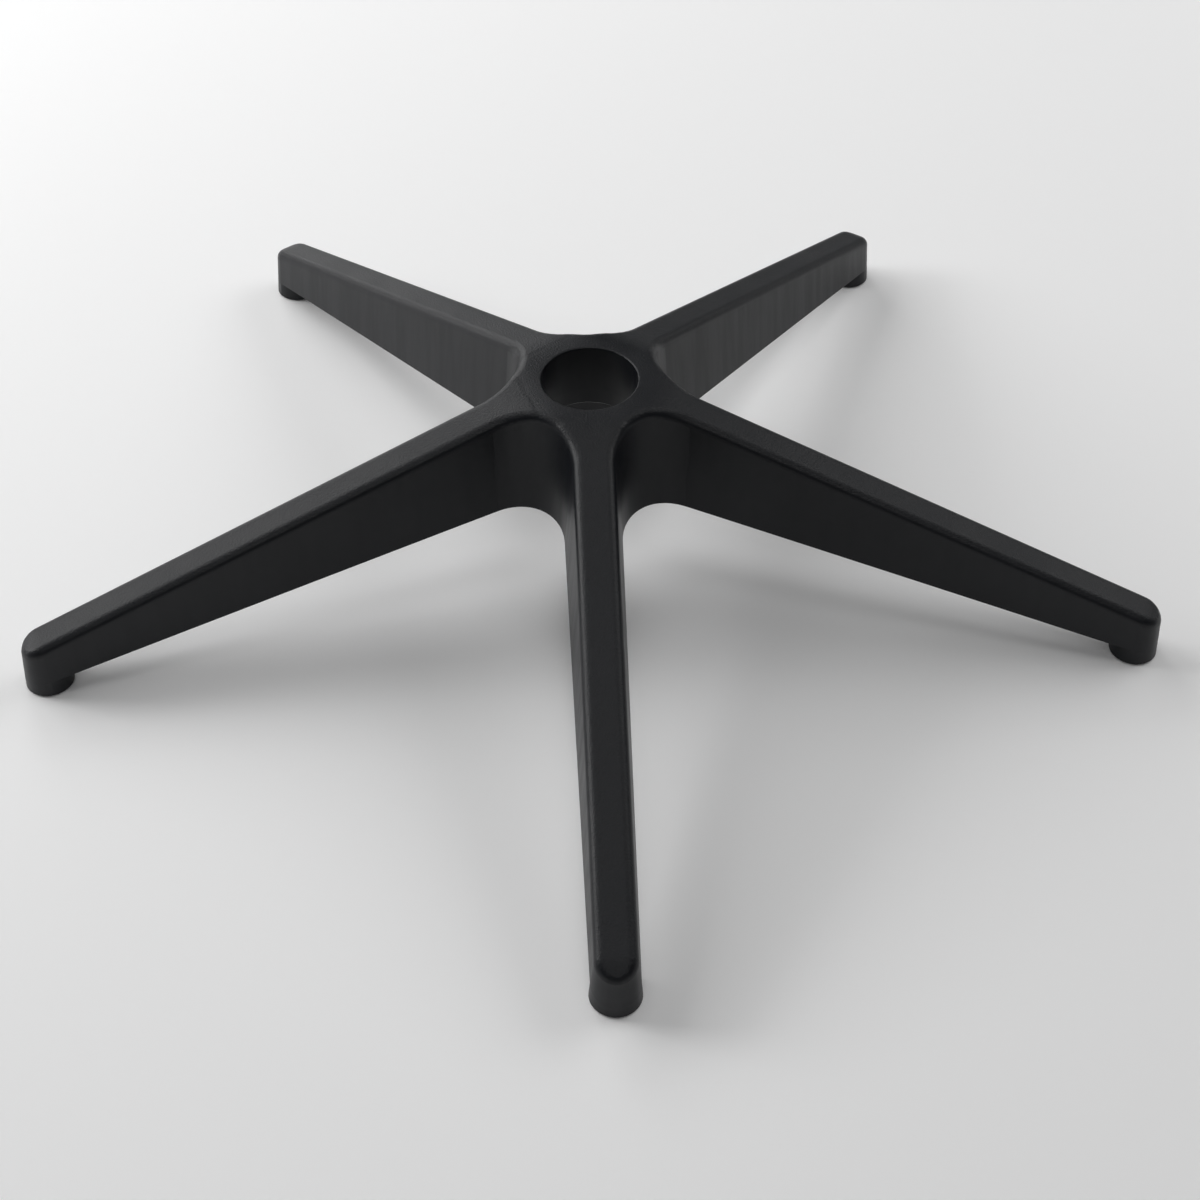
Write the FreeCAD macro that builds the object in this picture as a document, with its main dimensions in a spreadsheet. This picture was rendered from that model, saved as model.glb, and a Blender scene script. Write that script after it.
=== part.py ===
# Five star base of an office chair: one hollow nylon moulding with a hub and five legs.
# The hub axis is Z. The floor plane z = 0 holds the mouths of the five caster sockets.
# The first leg points along -Y. Lengths are millimetres and angles are degrees.
import FreeCAD, Part
import math
import os
import Sketcher

doc = FreeCAD.newDocument("five_star_base")
sizes = doc.addObject("Spreadsheet::Sheet", "sizes")

DRIVING_SIZES = [
    ("leg_count", 5, "legs round the hub"),
    ("caster_circle_radius", 297.5, "hub axis to each caster socket"),
    ("hub_height", 117, "socket mouths to the flat top of the hub"),
    ("hub_land", 0.4, "how far the flat of the hub runs past the webs"),
    ("shoulder_bend", 2.2, "from either end of the bend between hub flat and leg top to its corner"),
    ("tip_height", 31.8, "top line of a leg at the caster socket"),
    ("tip_bend_radius", 26, "downward bend of the top over the end of a leg"),
    ("hub_underside_height", 66, "lower edge of the legs, carried on to the hub axis"),
    ("tip_underside_height", 9.6, "lower edge of a leg at the caster socket"),
    ("tip_radius", 12.5, "round end of a leg and its boss, at the socket mouth"),
    ("leg_side_angle", 1.7, "each side of a leg to its centre line, in plan"),
    ("web_radius", 22, "round between two legs, on the floor plane"),
    ("wall_draft", 4.79, "lean of the walls, narrower towards the top"),
    ("full_height_reach", 180, "hub axis to where the blank for the legs starts to slope"),
    ("edge_round", 5, "rolled edge between top and walls"),
    ("foot_chamfer", 1, "edge round the lower end of a boss"),
    ("wall", 3.6, "thickness of the walls"),
    ("roof", 4.5, "thickness of the top, measured upright"),
    ("bore_diameter", 50, "column seat at the hub's top"),
    ("bore_rim", 1, "round at the mouth of the column seat"),
    ("seat_depth", 27, "tapered stretch of the column seat"),
    ("seat_taper", 1.43, "lean of the seat's wall"),
    ("sleeve_depth", 37, "hub top to the lower end of the sleeve"),
    ("sleeve_wall", 6.5, "sleeve round the column seat"),
    ("sleeve_lead", 1, "chamfer inside the sleeve's lower end"),
    ("socket_diameter", 11.1, "bore for a caster stem"),
    ("socket_depth", 25, "blind depth of a caster socket"),
    ("boss_collar", 1, "how far a boss is thicker inside the leg than at its foot"),
    ("rib_thickness", 2.5, "crossed ribs under the legs"),
    ("rib_angle", 38, "crossed ribs to the leg's centre line"),
    ("rib_pitch", 44, "spacing of the rib crossings along a leg"),
    ("rib_start", 66, "hub axis to the first rib crossing"),
    ("rib_recess", 2, "ribs end this far above the lower edge of the walls"),
    ("hub_rib_thickness", 3, "rib from the sleeve to the first crossing"),
    ("overcut", 2, "how far blanks and cutters run past the finished faces"),
]
for row, (name, amount, meaning) in enumerate(DRIVING_SIZES, start=1):
    sizes.set(f"A{row}", meaning)
    sizes.set(f"B{row}", str(amount))
    sizes.setAlias(f"B{row}", name)
doc.recompute()

# Lines of the side view, as formulas of the driving sizes.
DRAFT = "tan(sizes.wall_draft)"
LEAN = "sizes.leg_side_angle"
REACH = "(sizes.caster_circle_radius + sizes.tip_radius + sizes.overcut)"
AXIS_OFFSET = f"(sizes.tip_radius + sizes.caster_circle_radius * sin({LEAN}))"
WEB_CENTRE = f"(({AXIS_OFFSET} + sizes.web_radius) / sin(180 / sizes.leg_count + {LEAN}))"
WEB_EDGE = f"({WEB_CENTRE} - sizes.web_radius - sizes.hub_height * {DRAFT})"
HUB_FLAT = f"({WEB_EDGE} * cos(180 / sizes.leg_count) + sizes.hub_land)"
SHOULDER = f"({HUB_FLAT} + sizes.shoulder_bend)"
TOP_SLOPE = f"((sizes.hub_height - sizes.tip_height) / (sizes.caster_circle_radius - {SHOULDER}))"
LOW_SLOPE = "((sizes.hub_underside_height - sizes.tip_underside_height) / sizes.caster_circle_radius)"
HUB_BLANK = "(sizes.hub_height + sizes.overcut)"
TIP_BLANK = "(sizes.tip_height + sizes.overcut)"
BORE_RADIUS = "(sizes.bore_diameter / 2)"
LAND_RADIUS = f"({BORE_RADIUS} - sizes.seat_depth * tan(sizes.seat_taper))"
SLEEVE_RADIUS = f"({BORE_RADIUS} + sizes.sleeve_wall)"
SLEEVE_END = "(sizes.hub_height - sizes.sleeve_depth)"
SOCKET_RADIUS = "(sizes.socket_diameter / 2)"
BOSS_RADIUS = "(sizes.tip_radius + sizes.boss_collar)"
BOSS_BLANK = f"(sizes.tip_underside_height + {LOW_SLOPE} * sizes.tip_radius + sizes.overcut)"
AXIS_HALF_WIDTH = f"(sizes.tip_radius / cos({LEAN}) + sizes.caster_circle_radius * tan({LEAN}))"
RIB_FOOT = f"(sizes.hub_underside_height - {LOW_SLOPE} * sizes.rib_start)"
RIB_SPAN = f"({AXIS_HALF_WIDTH} - sizes.rib_start * tan({LEAN}) - {RIB_FOOT} * {DRAFT} - sizes.wall / 2)"
RIB_HALF_LENGTH = f"({RIB_SPAN} / sin(sizes.rib_angle))"
RIB_RUN = f"(sizes.caster_circle_radius - {BOSS_RADIUS} - sizes.rib_start)"

START, END, MIDDLE = 1, 2, 3
ORIGIN, VERTICAL_AXIS = -1, -2
UP = FreeCAD.Vector(0, 0, 1)
FIT = 0.001
STEEP = math.cos(math.radians(60))


def value(formula):
    return float(sizes.evalExpression(formula))


def point(x, y):
    return FreeCAD.Vector(x, y, 0)


def turned(vector, angle):
    return FreeCAD.Rotation(UP, math.degrees(angle)).multVec(vector)


def mirrored(vector):
    return point(vector.x, -vector.y)


def new_body(name):
    body = doc.addObject("PartDesign::Body", name)
    body.AllowCompound = True
    return body


def origin_plane(body, role):
    return next(feature for feature in body.Origin.OriginFeatures if feature.Role == role)


def new_sketch(body, name, plane_role):
    sketch = body.newObject("Sketcher::SketchObject", name)
    sketch.AttachmentSupport = (origin_plane(body, plane_role), [""])
    sketch.MapMode = "FlatFace"
    return sketch


def tie(sketch, *terms):
    sketch.addConstraint(Sketcher.Constraint(*terms))


def drive(sketch, formula, *terms):
    index = sketch.addConstraint(Sketcher.Constraint(*terms))
    sketch.setExpression(f"Constraints[{index}]", formula)


def place(sketch, element, end, x, y):
    """Hold one end of an element at a point given by two formulas, or on the upright axis."""
    if x == "0":
        tie(sketch, "PointOnObject", element, end, VERTICAL_AXIS)
    else:
        drive(sketch, x, "DistanceX", ORIGIN, START, element, end, value(x))
    drive(sketch, y, "DistanceY", ORIGIN, START, element, end, value(y))


def outline_sketch(body, name, plane_role, corners):
    """A closed outline of straight lines through corners that are pairs of formulas."""
    sketch = new_sketch(body, name, plane_role)
    spots = [point(value(x), value(y)) for x, y in corners]
    lines = []
    for here, there in zip(spots, spots[1:] + spots[:1]):
        lines.append(sketch.addGeometry(Part.LineSegment(here, there)))
    for line, following, (x, y) in zip(lines, lines[1:] + lines[:1], corners):
        tie(sketch, "Coincident", line, END, following, START)
        place(sketch, line, START, x, y)
    return sketch


def circle_sketch(body, name, centre_y, radius):
    """A circle on the floor plane, centred on the upright plane through the first leg."""
    sketch = new_sketch(body, name, "XY_Plane")
    centre = point(0, value(centre_y))
    circle = sketch.addGeometry(Part.Circle(centre, UP, value(radius)))
    if centre_y == "0":
        tie(sketch, "Coincident", circle, MIDDLE, ORIGIN, START)
    else:
        place(sketch, circle, MIDDLE, "0", centre_y)
    drive(sketch, radius, "Radius", circle, value(radius))
    return sketch


def pad(body, name, sketch, length, draft):
    feature = body.newObject("PartDesign::Pad", name)
    feature.Profile = (sketch, [""])
    feature.setExpression("Length", length)
    if draft:
        feature.setExpression("TaperAngle", "-sizes.wall_draft")
    return feature


def groove(body, name, sketch):
    """Cut a half outline away all round the hub axis."""
    feature = body.newObject("PartDesign::Groove", name)
    feature.Profile = (sketch, [""])
    feature.ReferenceAxis = (sketch, ["V_Axis"])
    feature.Angle = 360
    return feature


def all_legs(body, name, features, sketch):
    """Repeat features of the first leg on every leg."""
    pattern = body.newObject("PartDesign::PolarPattern", name)
    pattern.Originals = features
    pattern.Axis = (sketch, ["N_Axis"])
    pattern.Angle = 360
    pattern.setExpression("Occurrences", "sizes.leg_count")
    body.Tip = pattern
    return pattern


def star_sketch(body, name, inset):
    """Hub, webs and legs in plan on the floor plane, set in from the outer wall."""
    tip = f"sizes.tip_radius - {inset}"
    web = f"sizes.web_radius + {inset}"
    legs = int(value("sizes.leg_count"))
    half_pitch = math.pi / legs
    lean = math.radians(value(LEAN))
    reach = value("sizes.caster_circle_radius")
    tip_size = value(tip)
    web_size = value(web)

    # In the frame of one leg along +X: where its side leaves the tip round and meets the web round.
    axis_offset = tip_size + reach * math.sin(lean)
    web_centre = (axis_offset + web_size) / math.sin(half_pitch + lean)
    side_tip = point(reach + tip_size * math.sin(lean), tip_size * math.cos(lean))
    side_web = point(
        web_centre * math.cos(half_pitch) - web_size * math.sin(lean),
        web_centre * math.sin(half_pitch) - web_size * math.cos(lean),
    )

    sketch = new_sketch(body, name, "XY_Plane")
    quarter = math.pi / 2 - lean
    half_turn = quarter - half_pitch
    spokes, tips, lefts, rights, webs = [], [], [], [], []
    for leg in range(legs):
        along = 2 * half_pitch * leg - math.pi / 2
        centre = turned(point(reach, 0), along)
        left = [turned(side_tip, along), turned(side_web, along)]
        right = [turned(mirrored(side_tip), along), turned(mirrored(side_web), along)]
        spokes.append(sketch.addGeometry(Part.LineSegment(point(0, 0), centre), True))
        tip_circle = Part.Circle(centre, UP, tip_size)
        tip_arc = Part.ArcOfCircle(tip_circle, along - quarter, along + quarter)
        tips.append(sketch.addGeometry(tip_arc))
        lefts.append(sketch.addGeometry(Part.LineSegment(*left)))
        rights.append(sketch.addGeometry(Part.LineSegment(*right)))
        inward = along + half_pitch + math.pi
        web_circle = Part.Circle(turned(point(web_centre, 0), along + half_pitch), UP, web_size)
        web_arc = Part.ArcOfCircle(web_circle, inward - half_turn, inward + half_turn)
        webs.append(sketch.addGeometry(web_arc))

    for leg in range(legs):
        spoke, tip_arc, web_arc = spokes[leg], tips[leg], webs[leg]
        left, right, next_right = lefts[leg], rights[leg], rights[(leg + 1) % legs]
        tie(sketch, "Coincident", spoke, START, ORIGIN, START)
        tie(sketch, "Coincident", tip_arc, MIDDLE, spoke, END)
        tie(sketch, "Tangent", tip_arc, START, right, START)
        tie(sketch, "Tangent", tip_arc, END, left, START)
        tie(sketch, "Tangent", left, END, web_arc, END)
        tie(sketch, "Tangent", next_right, END, web_arc, START)
        drive(sketch, LEAN, "Angle", left, END, spoke, START, lean)
        drive(sketch, LEAN, "Angle", spoke, START, right, END, lean)
    tie(sketch, "PointOnObject", spokes[0], END, VERTICAL_AXIS)
    drive(sketch, "sizes.caster_circle_radius", "Distance", spokes[0], reach)
    drive(sketch, tip, "Radius", tips[0], tip_size)
    drive(sketch, web, "Radius", webs[0], web_size)
    for leg in range(1, legs):
        turn = 2 * half_pitch
        drive(sketch, "360 / sizes.leg_count", "Angle", spokes[leg - 1], START, spokes[leg], START, turn)
        tie(sketch, "Equal", spokes[0], spokes[leg])
        tie(sketch, "Equal", tips[0], tips[leg])
        tie(sketch, "Equal", webs[0], webs[leg])
    return sketch


def slope_cut(body, name, sketch, plan):
    """Cut a side view of the first leg away from every leg."""
    leg_cut = body.newObject("PartDesign::Pocket", name + "_leg")
    leg_cut.Profile = (sketch, [""])
    leg_cut.SideType = "Symmetric"
    leg_cut.setExpression("Length", f"2 * {REACH}")
    return all_legs(body, name, [leg_cut], plan)


def blank_cut(body, name, plan):
    """Trim the outer ends of a tall blank, so that they stay wider than their draft takes away."""
    corners = [
        ("-sizes.full_height_reach", HUB_BLANK),
        (f"-{REACH}", TIP_BLANK),
        (f"-{REACH}", f"{HUB_BLANK} + sizes.overcut"),
        ("-sizes.full_height_reach", f"{HUB_BLANK} + sizes.overcut"),
    ]
    sketch = outline_sketch(body, name + "_outline", "YZ_Plane", corners)
    return slope_cut(body, name, sketch, plan)


def top_cut(body, name, drop, plan):
    """Take away what stands above the top: flat on the hub, sloping along each leg, bent over its end."""
    flat = f"(sizes.hub_height - {drop})"
    tip = f"(sizes.tip_height - {drop})"
    ceiling = f"({HUB_BLANK} + sizes.overcut)"
    fall = math.atan(value(TOP_SLOPE))
    shoulder_radius = value("sizes.shoulder_bend") / math.tan(fall / 2)
    tip_bend_radius = value("sizes.tip_bend_radius")
    hub_spot = point(0, value(flat))
    flat_end = point(-value(HUB_FLAT), value(flat))
    corner_spot = point(-value(SHOULDER), value(flat))
    downhill = point(-math.cos(fall), -math.sin(fall))
    slope_start = corner_spot + downhill * value("sizes.shoulder_bend")
    tip_spot = point(-value("sizes.caster_circle_radius"), value(tip))
    tip_centre = tip_spot + turned(downhill, math.pi / 2) * tip_bend_radius
    tip_turn = math.acos((-value(REACH) - tip_centre.x) / tip_bend_radius)
    low_spot = tip_centre + turned(point(tip_bend_radius, 0), tip_turn)
    outer_spot = point(-value(REACH), value(ceiling))
    axis_spot = point(0, value(ceiling))
    upright = math.pi / 2
    shoulder_circle = Part.Circle(flat_end - point(0, shoulder_radius), UP, shoulder_radius)
    tip_circle = Part.Circle(tip_centre, UP, tip_bend_radius)

    sketch = new_sketch(body, name + "_outline", "YZ_Plane")
    hub_flat = sketch.addGeometry(Part.LineSegment(hub_spot, flat_end))
    shoulder = sketch.addGeometry(Part.ArcOfCircle(shoulder_circle, upright, upright + fall))
    leg_top = sketch.addGeometry(Part.LineSegment(slope_start, tip_spot))
    tip_bend = sketch.addGeometry(Part.ArcOfCircle(tip_circle, upright + fall, tip_turn))
    outside = sketch.addGeometry(Part.LineSegment(low_spot, outer_spot))
    above = sketch.addGeometry(Part.LineSegment(outer_spot, axis_spot))
    axis = sketch.addGeometry(Part.LineSegment(axis_spot, hub_spot))
    corner = sketch.addGeometry(Part.Point(corner_spot), True)
    place(sketch, corner, START, f"-{SHOULDER}", flat)
    place(sketch, hub_flat, START, "0", flat)
    tie(sketch, "Horizontal", hub_flat)
    drive(sketch, HUB_FLAT, "Distance", hub_flat, value(HUB_FLAT))
    tie(sketch, "Tangent", hub_flat, END, shoulder, START)
    tie(sketch, "Tangent", shoulder, END, leg_top, START)
    tie(sketch, "PointOnObject", corner, START, leg_top)
    tie(sketch, "Tangent", leg_top, END, tip_bend, START)
    place(sketch, leg_top, END, "-sizes.caster_circle_radius", tip)
    drive(sketch, "sizes.tip_bend_radius", "Radius", tip_bend, tip_bend_radius)
    tie(sketch, "Coincident", tip_bend, END, outside, START)
    tie(sketch, "Coincident", outside, END, above, START)
    tie(sketch, "Vertical", outside)
    tie(sketch, "Coincident", above, END, axis, START)
    tie(sketch, "Horizontal", above)
    tie(sketch, "Coincident", axis, END, hub_flat, START)
    tie(sketch, "Vertical", axis)
    place(sketch, outside, END, f"-{REACH}", ceiling)
    return slope_cut(body, name, sketch, plan)


def underside_cut(body, name, lift):
    """Take away what hangs below the sloping lower edge of the legs."""
    hub = f"sizes.hub_underside_height + {lift}"
    below = "-sizes.overcut"
    corners = [
        ("0", hub),
        (REACH, f"{hub} - {LOW_SLOPE} * {REACH}"),
        (REACH, below),
        ("0", below),
    ]
    return groove(body, name, outline_sketch(body, name + "_outline", "XZ_Plane", corners))


def upright_faces(shape):
    """Names of the faces that stand upright."""
    names = []
    for number, face in enumerate(shape.Faces, start=1):
        u_low, u_high, v_low, v_high = face.ParameterRange
        if abs(face.normalAt((u_low + u_high) / 2, (v_low + v_high) / 2).z) < FIT:
            names.append(f"Face{number}")
    return names


def star(body, inset, drop):
    """Hub and legs with drafted walls and the sloping top, before the underside is trimmed."""
    plan = star_sketch(body, body.Name + "_plan", inset)
    pad(body, body.Name + "_blank", plan, HUB_BLANK, draft=False)
    blank = blank_cut(body, body.Name + "_ends", plan)
    doc.recompute()
    walls = body.newObject("PartDesign::Draft", body.Name + "_walls")
    walls.Base = (blank, upright_faces(blank.Shape))
    walls.NeutralPlane = (origin_plane(body, "XY_Plane"), [""])
    walls.setExpression("Angle", "sizes.wall_draft")
    top_cut(body, body.Name + "_top", drop, plan)
    doc.recompute()


def up_facing(face, spot):
    u, v = face.Surface.parameter(spot)
    return face.normalAt(u, v).z


def round_edges(shape, radius, height):
    """Names of the circular edges of one radius at one height."""
    names = []
    for number, edge in enumerate(shape.Edges, start=1):
        curve = edge.Curve
        if not isinstance(curve, Part.Circle):
            continue
        if math.isclose(curve.Radius, radius, abs_tol=FIT) and math.isclose(
            curve.Center.z, height, abs_tol=FIT
        ):
            names.append(f"Edge{number}")
    return names


def rolled_edges(shape):
    """Names of the edges between the top and the walls."""
    names = []
    for number, edge in enumerate(shape.Edges, start=1):
        spot = edge.valueAt((edge.FirstParameter + edge.LastParameter) / 2)
        lift = sorted(up_facing(face, spot) for face in shape.ancestorsOfType(edge, Part.Face))
        if len(lift) == 2 and lift[0] < STEEP < lift[1]:
            names.append(f"Edge{number}")
    return names


shell = new_body("shell")
star(shell, "0", "0")
underside_cut(shell, "shell_underside", "0")
boss_outline = circle_sketch(shell, "boss_outline", "-sizes.caster_circle_radius", "sizes.tip_radius")
boss = pad(shell, "boss", boss_outline, BOSS_BLANK, draft=True)
bosses = all_legs(shell, "bosses", [boss], boss_outline)
doc.recompute()

rolled = shell.newObject("PartDesign::Fillet", "rolled_edge")
rolled.Base = (bosses, rolled_edges(bosses.Shape))
rolled.setExpression("Radius", "sizes.edge_round")

socket_outline = circle_sketch(shell, "socket_outline", "-sizes.caster_circle_radius", SOCKET_RADIUS)
socket = shell.newObject("PartDesign::Pocket", "socket")
socket.Profile = (socket_outline, [""])
socket.Reversed = True
socket.setExpression("Length", "sizes.socket_depth")
all_legs(shell, "sockets", [socket], socket_outline)

bore_corners = [
    ("0", HUB_BLANK),
    (BORE_RADIUS, HUB_BLANK),
    (BORE_RADIUS, "sizes.hub_height"),
    (LAND_RADIUS, "sizes.hub_height - sizes.seat_depth"),
    (LAND_RADIUS, f"{SLEEVE_END} + sizes.sleeve_lead"),
    (f"{LAND_RADIUS} + sizes.sleeve_lead", SLEEVE_END),
    (f"{LAND_RADIUS} + sizes.sleeve_lead", "-sizes.overcut"),
    ("0", "-sizes.overcut"),
]
bore = groove(shell, "bore", outline_sketch(shell, "bore_outline", "XZ_Plane", bore_corners))
doc.recompute()

rim = shell.newObject("PartDesign::Fillet", "bore_rim")
rim.Base = (bore, round_edges(bore.Shape, value(BORE_RADIUS), value("sizes.hub_height")))
rim.setExpression("Radius", "sizes.bore_rim")
doc.recompute()
feet = shell.newObject("PartDesign::Chamfer", "foot_chamfer")
feet.Base = (rim, round_edges(rim.Shape, value("sizes.tip_radius"), 0))
feet.setExpression("Size", "sizes.foot_chamfer")
doc.recompute()

core = new_body("core")
star(core, "sizes.wall", "sizes.roof")
doc.recompute()

inner = new_body("inner")
hub_rib_corners = [
    ("-sizes.hub_rib_thickness / 2", "-sizes.rib_start"),
    ("sizes.hub_rib_thickness / 2", "-sizes.rib_start"),
    ("sizes.hub_rib_thickness / 2", f"-({BORE_RADIUS} + sizes.sleeve_wall / 2)"),
    ("-sizes.hub_rib_thickness / 2", f"-({BORE_RADIUS} + sizes.sleeve_wall / 2)"),
]
hub_rib_outline = outline_sketch(inner, "hub_rib_outline", "XY_Plane", hub_rib_corners)
hub_rib = pad(inner, "hub_rib", hub_rib_outline, HUB_BLANK, draft=False)
all_legs(inner, "hub_ribs", [hub_rib], hub_rib_outline)

rib_corners = []
for along, across in ((-1, -1), (1, -1), (1, 1), (-1, 1)):
    run = f"({along} * {RIB_HALF_LENGTH})"
    side = f"({across} * sizes.rib_thickness / 2)"
    rib_corners.append(
        (
            f"{run} * sin(sizes.rib_angle) - {side} * cos(sizes.rib_angle)",
            f"{run} * cos(sizes.rib_angle) + {side} * sin(sizes.rib_angle) - sizes.rib_start",
        )
    )
rib_outline = outline_sketch(inner, "rib_outline", "XY_Plane", rib_corners)
rib = pad(inner, "rib", rib_outline, HUB_BLANK, draft=False)
crossing = inner.newObject("PartDesign::Mirrored", "rib_crossing")
crossing.MirrorPlane = (rib_outline, ["V_Axis"])
along_leg = inner.newObject("PartDesign::LinearPattern", "ribs_along_leg")
along_leg.Direction = (rib_outline, ["V_Axis"])
along_leg.Reversed = True
along_leg.Mode = "Spacing"
along_leg.setExpression("Offset", "sizes.rib_pitch")
along_leg.setExpression("Occurrences", f"floor({RIB_RUN} / sizes.rib_pitch) + 1")
round_hub = inner.newObject("PartDesign::PolarPattern", "ribs_round_hub")
round_hub.Axis = (rib_outline, ["N_Axis"])
round_hub.Angle = 360
round_hub.setExpression("Occurrences", "sizes.leg_count")
ribs = inner.newObject("PartDesign::MultiTransform", "ribs")
ribs.Originals = [rib]
ribs.Transformations = [crossing, along_leg, round_hub]
inner.Tip = ribs
doc.recompute()
underside_cut(inner, "inner_underside", "sizes.rib_recess")
seat_outline = circle_sketch(inner, "socket_boss_outline", "-sizes.caster_circle_radius", BOSS_RADIUS)
seat = pad(inner, "socket_boss", seat_outline, HUB_BLANK, draft=False)
all_legs(inner, "socket_bosses", [seat], seat_outline)
sleeve_outline = circle_sketch(inner, "sleeve_outline", "0", SLEEVE_RADIUS)
sleeve_outline.setExpression("AttachmentOffset.Base.z", SLEEVE_END)
sleeve = pad(inner, "sleeve", sleeve_outline, "sizes.sleeve_depth", draft=False)
doc.recompute()

hollow = doc.addObject("Part::Cut", "hollow")
hollow.Base = core
hollow.Tool = inner
star_base = doc.addObject("Part::Cut", "star_base")
star_base.Label = "star_base"
star_base.Base = shell
star_base.Tool = hollow
doc.recompute()

for item in doc.Objects:
    if "Invalid" in item.State or "Error" in item.State:
        raise RuntimeError(f"{item.Label}: {item.getStatusString()}")
    if item.TypeId in ("PartDesign::Groove", "PartDesign::Pocket"):
        if item.Shape.Volume >= item.BaseFeature.Shape.Volume:
            raise RuntimeError(f"{item.Label} takes nothing away")
if star_base.Shape.isNull() or not star_base.Shape.isValid() or len(star_base.Shape.Solids) != 1:
    raise RuntimeError("the moulding is not one sound solid")

os.makedirs("parts", exist_ok=True)
star_base.Shape.exportStep(f"parts/{star_base.Label}.step")
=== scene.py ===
import bpy
import math
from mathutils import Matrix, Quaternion, Vector

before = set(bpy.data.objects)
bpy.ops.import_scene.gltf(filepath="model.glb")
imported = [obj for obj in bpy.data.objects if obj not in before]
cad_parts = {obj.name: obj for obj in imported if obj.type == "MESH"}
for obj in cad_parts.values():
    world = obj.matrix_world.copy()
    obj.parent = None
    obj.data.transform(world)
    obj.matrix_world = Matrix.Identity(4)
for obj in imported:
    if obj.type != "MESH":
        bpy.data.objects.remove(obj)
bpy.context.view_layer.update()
bpy.ops.object.select_all(action="DESELECT")


# Star base: one hollow injection moulding in black glass-filled nylon, with hub, legs, column seat and
# caster sockets. Its tops carry a fine spark-eroded grain. The drafted walls leave the tool smoother,
# with faint upright drag marks, and the rolled edges are a little polished by handling.
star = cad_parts["star_base"]

NYLON_DARK = (0.0023, 0.0030, 0.0050, 1)
NYLON_PALE = (0.0046, 0.0055, 0.0078, 1)
SPECULAR = 0.34
nylon = bpy.data.materials.new("black_nylon")
nylon.use_nodes = True
nodes = nylon.node_tree.nodes
links = nylon.node_tree.links
shader = nodes["Principled BSDF"]
shader.inputs["Specular IOR Level"].default_value = SPECULAR


def maths(operation, *terms):
    """One step of arithmetic on sockets and plain numbers; returns the socket of its result."""
    step = nodes.new("ShaderNodeMath")
    step.operation = operation
    for socket, term in zip(step.inputs, terms):
        if isinstance(term, bpy.types.NodeSocket):
            links.new(term, socket)
        else:
            socket.default_value = term
    return step.outputs["Value"]


def ramp(value, from_low, from_high, to_low, to_high):
    """A value carried over from one range to another, smoothly and without leaving it."""
    step = nodes.new("ShaderNodeMapRange")
    step.interpolation_type = "SMOOTHSTEP"
    links.new(value, step.inputs["Value"])
    step.inputs["From Min"].default_value = from_low
    step.inputs["From Max"].default_value = from_high
    step.inputs["To Min"].default_value = to_low
    step.inputs["To Max"].default_value = to_high
    return step.outputs["Result"]


NOISE_ROUGHNESS = 0.6


def noise(vector, scale, detail):
    """Fractal noise from 0 to 1."""
    step = nodes.new("ShaderNodeTexNoise")
    links.new(vector, step.inputs["Vector"])
    step.inputs["Scale"].default_value = scale
    step.inputs["Detail"].default_value = detail
    step.inputs["Roughness"].default_value = NOISE_ROUGHNESS
    return step.outputs["Fac"]


def bump(height, distance, strength, normal):
    """Relief of a given height on top of an earlier normal."""
    step = nodes.new("ShaderNodeBump")
    step.inputs["Distance"].default_value = distance
    links.new(height, step.inputs["Height"])
    links.new(strength, step.inputs["Strength"])
    links.new(normal, step.inputs["Normal"])
    return step.outputs["Normal"]


# Where a face belongs, from how far it looks up: 0 is upright and 1 is level.
# The top mask is 1 on the tops and 0 on the walls. The edge mask is 1 on the rolled edges only.
TOP_BEGINS = 0.35
TOP_FULL = 0.85
EDGE_BEGINS = 0.15
EDGE_FULL = 0.40
EDGE_FADES = 0.75
EDGE_ENDS = 0.92
surface = nodes.new("ShaderNodeNewGeometry")
facing = nodes.new("ShaderNodeSeparateXYZ")
links.new(surface.outputs["Normal"], facing.inputs["Vector"])
upward = facing.outputs["Z"]
top_mask = ramp(upward, TOP_BEGINS, TOP_FULL, 0, 1)
edge_rise = ramp(upward, EDGE_BEGINS, EDGE_FULL, 0, 1)
edge_fall = ramp(upward, EDGE_FADES, EDGE_ENDS, 1, 0)
edge_mask = maths("MULTIPLY", edge_rise, edge_fall)

# Patterns: the grain of the tops, broad clouds all over, and drag marks drawn out along the height.
GRAIN_PER_METRE = 1000
GRAIN_DETAIL = 2
CLOUD_PER_METRE = 22
CLOUD_DETAIL = 5
STREAKS_PER_METRE = (160, 160, 5)
STREAK_DETAIL = 4
PATTERN_LOW = 0.3
PATTERN_HIGH = 0.7
place = nodes.new("ShaderNodeTexCoord").outputs["Object"]
stretch = nodes.new("ShaderNodeMapping")
stretch.inputs["Scale"].default_value = STREAKS_PER_METRE
links.new(place, stretch.inputs["Vector"])
grain = noise(place, GRAIN_PER_METRE, GRAIN_DETAIL)
cloud = noise(place, CLOUD_PER_METRE, CLOUD_DETAIL)
streaks = noise(stretch.outputs["Vector"], scale=1, detail=STREAK_DETAIL)

# Colour: a cloudy black with a trace of blue.
tone = nodes.new("ShaderNodeMix")
tone.data_type = "RGBA"
tone.inputs["A"].default_value = NYLON_DARK
tone.inputs["B"].default_value = NYLON_PALE
links.new(ramp(cloud, PATTERN_LOW, PATTERN_HIGH, 0, 1), tone.inputs["Factor"])
links.new(tone.outputs["Result"], shader.inputs["Base Color"])

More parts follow.
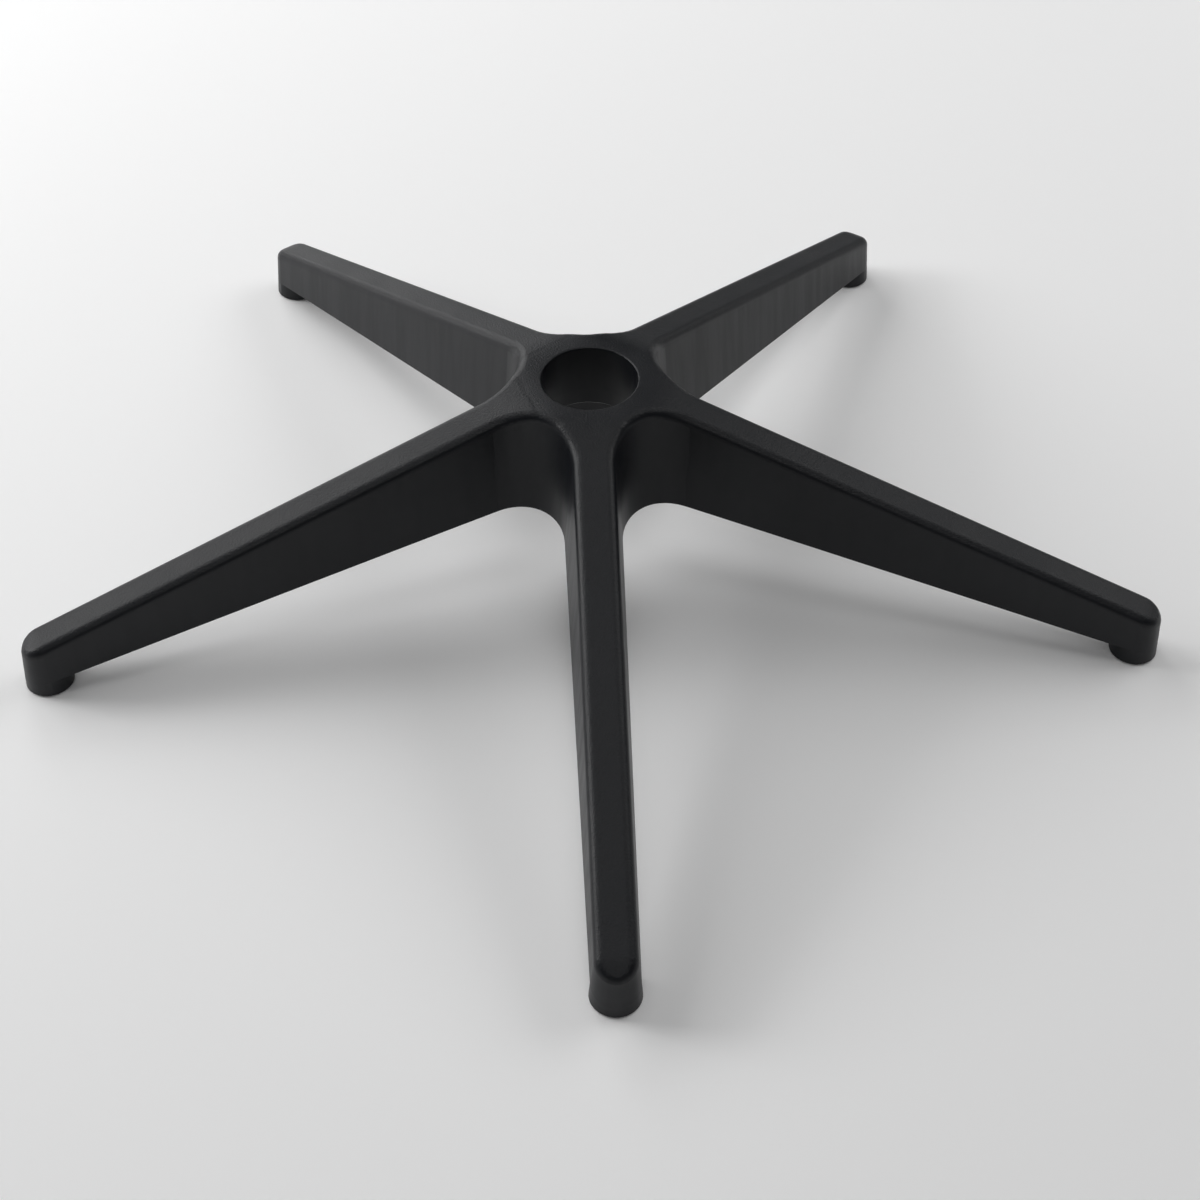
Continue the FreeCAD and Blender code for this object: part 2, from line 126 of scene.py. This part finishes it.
# Roughness: an even satin on the tops, drag marks on the walls, smoother on the rolled edges.
TOP_SMOOTHEST = 0.43
TOP_ROUGHEST = 0.49
WALL_SMOOTHEST = 0.385
WALL_ROUGHEST = 0.455
EDGE_POLISH = 0.04
satin = nodes.new("ShaderNodeMix")
links.new(top_mask, satin.inputs["Factor"])
links.new(ramp(streaks, PATTERN_LOW, PATTERN_HIGH, WALL_SMOOTHEST, WALL_ROUGHEST), satin.inputs["A"])
links.new(ramp(cloud, PATTERN_LOW, PATTERN_HIGH, TOP_SMOOTHEST, TOP_ROUGHEST), satin.inputs["B"])
roughness = maths("MULTIPLY_ADD", edge_mask, -EDGE_POLISH, satin.outputs["Result"])
links.new(roughness, shader.inputs["Roughness"])

# Shoulder: the flat hub runs over into each leg in one long bend, which eases the corner of the tops.
# The run along the nearest leg is the radius times the cosine of the angle to that leg. A short series
# in a wave with one lobe per leg stands for that cosine, and rounds its crease midway between two legs.
LEG_COUNT = 5
FIRST_LEG_ANGLE = -math.pi / 2
COSINE_MEAN = 0.9544
COSINE_FIRST = 0.0780
COSINE_SECOND = -0.0378
SHOULDER_REACH = 0.0339
SHOULDER_BEND = 0.0012
SHOULDER_EASE = 0.012
SHOULDER_DEPTH = 0.00097
position = nodes.new("ShaderNodeSeparateXYZ")
links.new(place, position.inputs["Vector"])
x = position.outputs["X"]
y = position.outputs["Y"]
radius = maths("SQRT", maths("ADD", maths("MULTIPLY", x, x), maths("MULTIPLY", y, y)))
from_first_leg = maths("SUBTRACT", maths("ARCTAN2", y, x), FIRST_LEG_ANGLE)
lobe = maths("COSINE", maths("MULTIPLY", from_first_leg, LEG_COUNT))
first_and_second = maths("MULTIPLY_ADD", lobe, COSINE_SECOND, COSINE_FIRST)
cosine = maths("MULTIPLY_ADD", lobe, first_and_second, COSINE_MEAN)
leg_run = maths("MULTIPLY", radius, cosine)
past_corner = maths("SUBTRACT", leg_run, SHOULDER_REACH)
off_corner = maths("SQRT", maths("MULTIPLY_ADD", past_corner, past_corner, SHOULDER_BEND ** 2))
nearness = maths("MAXIMUM", maths("MULTIPLY_ADD", off_corner, -1 / SHOULDER_EASE, 1), 0)
corner_ease = maths("MULTIPLY", maths("MULTIPLY", nearness, nearness), -1)
eased = bump(corner_ease, SHOULDER_DEPTH, top_mask, surface.outputs["Normal"])

# Relief: the grain at full depth on the tops and a trace of it on the walls.
GRAIN_DEPTH = 0.00028
WALL_GRAIN = 0.1
grain_strength = ramp(top_mask, 0, 1, WALL_GRAIN, 1)
links.new(bump(grain, GRAIN_DEPTH, grain_strength, eased), shader.inputs["Normal"])
star.material_slots[0].material = nylon


# Floor: a wide sheet of matt paper in a pale neutral tone, laid flat.
# The five bosses of the star stand on it. It is staging and no piece of the star.
FLOOR_SIZE = 30.0
PAPER_COLOUR = (0.95, 0.95, 0.95, 1)
PAPER_ROUGHNESS = 0.9
bpy.ops.mesh.primitive_plane_add(size=FLOOR_SIZE, location=(0, 0, 0))
floor = bpy.context.object
floor.name = "floor"
paper = bpy.data.materials.new("pale_paper")
paper.use_nodes = True
paper_shader = paper.node_tree.nodes["Principled BSDF"]
paper_shader.inputs["Base Color"].default_value = PAPER_COLOUR
paper_shader.inputs["Roughness"].default_value = PAPER_ROUGHNESS
floor.data.materials.append(paper)


# Studio light: soft panels behind on both sides, the left ones stronger, a low one far behind on the
# left, and two wide banks of light, one overhead and one above the camera, in a dim room.
AIM_POINT = Vector((0, 0, 0.05))


def hang(name, light, spot):
    """Hang a light at a spot and turn it to the star."""
    lamp = bpy.data.objects.new(name, light)
    lamp.location = spot
    lamp.rotation_euler = (AIM_POINT - Vector(spot)).to_track_quat("-Z", "Y").to_euler()
    bpy.context.scene.collection.objects.link(lamp)


def soft_panel(name, spot, size, power):
    """A square panel, its size in metres and its power in watts."""
    light = bpy.data.lights.new(name, "AREA")
    light.shape = "SQUARE"
    light.size = size
    light.energy = power
    hang(name, light, spot)


def light_bank(name, spot, spread, strength):
    """A far bank of light that spreads over an angle in degrees, its strength in watts per square metre."""
    light = bpy.data.lights.new(name, "SUN")
    light.angle = math.radians(spread)
    light.energy = strength
    hang(name, light, spot)


soft_panel("left_high", (-1.6, 1.0, 1.6), size=1.2, power=13.0)
soft_panel("left_back", (-2.0, 1.6, 1.2), size=1.2, power=7.0)
soft_panel("left_side", (-2.2, 0.5, 1.0), size=0.8, power=20.0)
soft_panel("back_low", (-1.0, 2.3, 0.42), size=0.8, power=4.6)
soft_panel("back_high", (-0.75, 2.0, 1.35), size=0.9, power=9.5)
soft_panel("right_high", (1.8, 0.6, 1.5), size=1.2, power=10.0)
soft_panel("right_back", (1.6, 1.6, 1.6), size=1.0, power=5.5)
light_bank("overhead", (0.0, 0.2, 2.4), spread=37, strength=0.50)
light_bank("above_camera", (0.0, -1.8, 2.2), spread=24, strength=0.35)

# Room: dim where it lights the star, and as pale as the far end of the floor where it is seen behind it.
ROOM_COLOUR = (0.95, 0.97, 1.0, 1)
ROOM_STRENGTH = 0.02
BACKDROP_STRENGTH = 0.27
room = bpy.data.worlds.new("room")
room.use_nodes = True
room_nodes = room.node_tree.nodes
room_links = room.node_tree.links
room_light = room_nodes["Background"]
room_light.inputs["Color"].default_value = ROOM_COLOUR
sight = room_nodes.new("ShaderNodeLightPath")
seen = room_nodes.new("ShaderNodeMapRange")
seen.inputs["To Min"].default_value = ROOM_STRENGTH
seen.inputs["To Max"].default_value = BACKDROP_STRENGTH
room_links.new(sight.outputs["Is Camera Ray"], seen.inputs["Value"])
room_links.new(seen.outputs["Result"], room_light.inputs["Strength"])
bpy.context.scene.world = room
bpy.context.scene.view_settings.view_transform = "Standard"


# Camera: it stands in front of the first leg, a little to its left, and looks down on the star through
# a lens a little longer than a normal one. A roll of under half a degree fits the photo.
CAMERA_PLACE = Vector((-0.0342, -0.8264, 0.7853))
CAMERA_AIM = Vector((0.0040, -0.0448, 0))
CAMERA_ROLL = math.radians(0.392)
LENS_MM = 61.69
SENSOR_MM = 36
FAR_CLIP = 100
camera_data = bpy.data.cameras.new("camera")
camera_data.lens = LENS_MM
camera_data.sensor_width = SENSOR_MM
camera_data.clip_end = FAR_CLIP
camera = bpy.data.objects.new("camera", camera_data)
camera.location = CAMERA_PLACE
look = (CAMERA_AIM - CAMERA_PLACE).to_track_quat("-Z", "Y")
camera.rotation_euler = (look @ Quaternion((0, 0, 1), CAMERA_ROLL)).to_euler()
bpy.context.scene.collection.objects.link(camera)
bpy.context.scene.camera = camera
